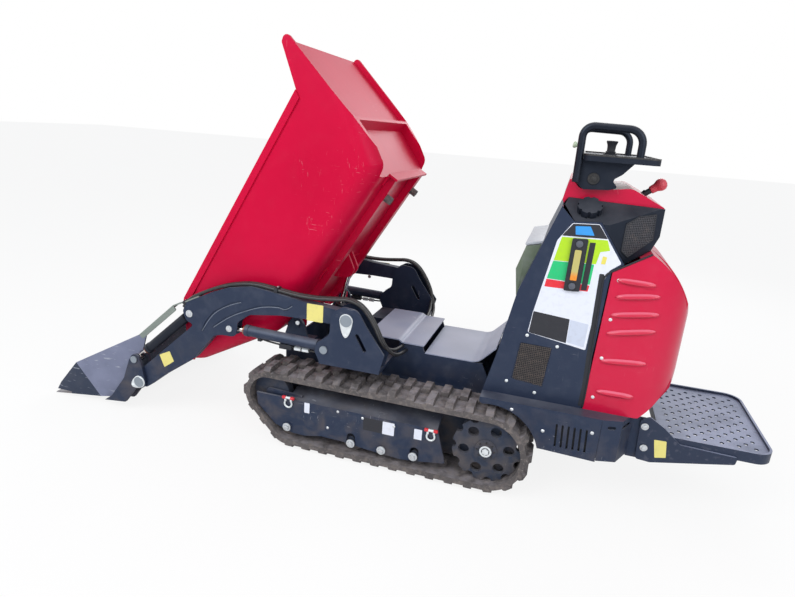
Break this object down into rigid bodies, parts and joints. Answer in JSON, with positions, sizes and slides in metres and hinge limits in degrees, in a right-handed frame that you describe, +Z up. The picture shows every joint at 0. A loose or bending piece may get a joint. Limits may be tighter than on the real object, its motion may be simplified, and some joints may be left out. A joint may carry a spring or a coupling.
{
  "type": "site dumper",
  "caption": "Rubber-tracked site dumper with a tipping skip, a self-loading shovel on two lift arms, a stand-on console and a folding footboard.",
  "frame": {"origin": "on the ground under the middle of the machine's length and width", "axes": "+X ahead towards the shovel, +Y to the machine's left, +Z up; the skip is stored tipped and the arms are stored down, as in the picture"},
  "size_m": [2.879, 0.814, 1.5239],
  "materials": {
    "track_rubber": "dusty",
    "undercarriage": "dirty paint",
    "navy": "satin, dusty",
    "navy_panel": "satin",
    "dusty_deck": "dusty",
    "grey_strip": "satin",
    "chrome_rod": "polished",
    "black_paint": "satin",
    "worn_steel": "worn",
    "crimson": "gloss",
    "crimson_plastic": "gloss",
    "black_plastic": "matt",
    "box_plastic": "matt",
    "engine": "cast"
  },
  "bodies": {
    "chassis": {"track_left": "track_rubber", "track_right": "track_rubber", "sprockets": "undercarriage", "rollers": "undercarriage", "track_frame_left": "navy", "track_frame_right": "navy", "frame_rails": "navy", "final_drives": "undercarriage", "frame_crossmembers": "navy", "skip_stands": "navy", "fender_plate": "navy_panel", "skirts": "navy", "rear_bumper": "navy", "deck_sheet": "dusty_deck", "hatch_cover": "dusty_deck", "loader_post_left": "navy", "loader_post_right": "navy", "console_side_left": "navy_panel", "console_side_right": "navy_panel", "console_front": "navy_panel", "console_cowl": "black_plastic", "console_top": "crimson_plastic", "rear_cover": "crimson_plastic", "engine_block": "engine", "document_box": "box_plastic", "control_pedestal": "black_plastic", "control_tray": "black_plastic", "hand_rails": "black_paint", "joystick": "black_plastic", "fuel_cap": "black_plastic", "footboard_brackets": "navy"},
    "loader_arms": {"loader_arm_left": "navy", "loader_arm_right": "navy", "arm_cross_tube": "navy", "cylinder_guards": "grey_strip"},
    "shovel": {"shovel_bucket": "navy", "shovel_lip": "worn_steel", "shovel_brackets": "navy"},
    "skip": {"skip_tub": "crimson", "skip_underframe": "crimson", "skip_buffers": "track_rubber"},
    "footboard": {"footboard": "navy"},
    "lift_barrels": {"lift_cylinder_barrels": "navy"},
    "lift_rods": {"lift_cylinder_rods": "chrome_rod"},
    "tilt_barrels": {"tilt_cylinder_barrels": "black_paint"},
    "tilt_rods": {"tilt_cylinder_rods": "chrome_rod"},
    "tip_barrel": {"tip_cylinder_barrel": "black_paint"},
    "tip_rod": {"tip_cylinder_rod": "chrome_rod"}
  },
  "joints": [
    {"name": "skip_tip", "type": "hinge", "parent": "chassis", "child": "skip", "pos_m": [0.3205, 0, 0.47], "axis": [0, 1, 0], "range_deg": [-58.4, 0]},
    {"name": "loader_lift", "type": "hinge", "parent": "chassis", "child": "loader_arms", "pos_m": [0.0475, 0, 0.578], "axis": [0, -1, 0], "range_deg": [0, 80]},
    {"name": "shovel_tilt", "type": "hinge", "parent": "loader_arms", "child": "shovel", "pos_m": [0.9685, 0, 0.152], "axis": [0, -1, 0], "range_deg": [-60, 25]},
    {"name": "footboard_fold", "type": "hinge", "parent": "chassis", "child": "footboard", "pos_m": [-1.0215, 0, 0.325], "axis": [0, 1, 0], "range_deg": [0, 65]},
    {"name": "lift_barrel_swing", "type": "hinge", "parent": "chassis", "child": "lift_barrels", "pos_m": [0.1315, 0, 0.451], "axis": [0, -1, 0], "range_deg": [0, 80.59]},
    {"name": "lift_rod_slide", "type": "slide", "parent": "lift_barrels", "child": "lift_rods", "axis": [0.9998, 0, 0.0222], "range_m": [0, 0.20123]},
    {"name": "tilt_barrel_swing", "type": "hinge", "parent": "loader_arms", "child": "tilt_barrels", "pos_m": [0.7155, 0, 0.493], "axis": [0, -1, 0], "range_deg": [-1.22, 2.85]},
    {"name": "tilt_rod_slide", "type": "slide", "parent": "tilt_barrels", "child": "tilt_rods", "axis": [0.7459, 0, -0.6661], "range_m": [-0.03661, 0.08757]},
    {"name": "tip_barrel_swing", "type": "hinge", "parent": "chassis", "child": "tip_barrel", "pos_m": [0.2805, 0, 0.287], "axis": [0, 1, 0], "range_deg": [-34.32, 0]},
    {"name": "tip_rod_slide", "type": "slide", "parent": "tip_barrel", "child": "tip_rod", "axis": [-0.2181, 0, 0.9759], "range_m": [-0.11875, 0]}
  ],
  "couplings": [
    {"joint": "lift_barrel_swing", "follows": "loader_lift", "ratio": 0.99679},
    {"joint": "lift_rod_slide", "follows": "loader_lift", "m_per_rad": 0.14255},
    {"joint": "tilt_barrel_swing", "follows": "shovel_tilt", "ratio": -0.04619},
    {"joint": "tilt_rod_slide", "follows": "shovel_tilt", "m_per_rad": -0.08261},
    {"joint": "tip_barrel_swing", "follows": "skip_tip", "ratio": 0.58099},
    {"joint": "tip_rod_slide", "follows": "skip_tip", "m_per_rad": 0.11516}
  ]
}
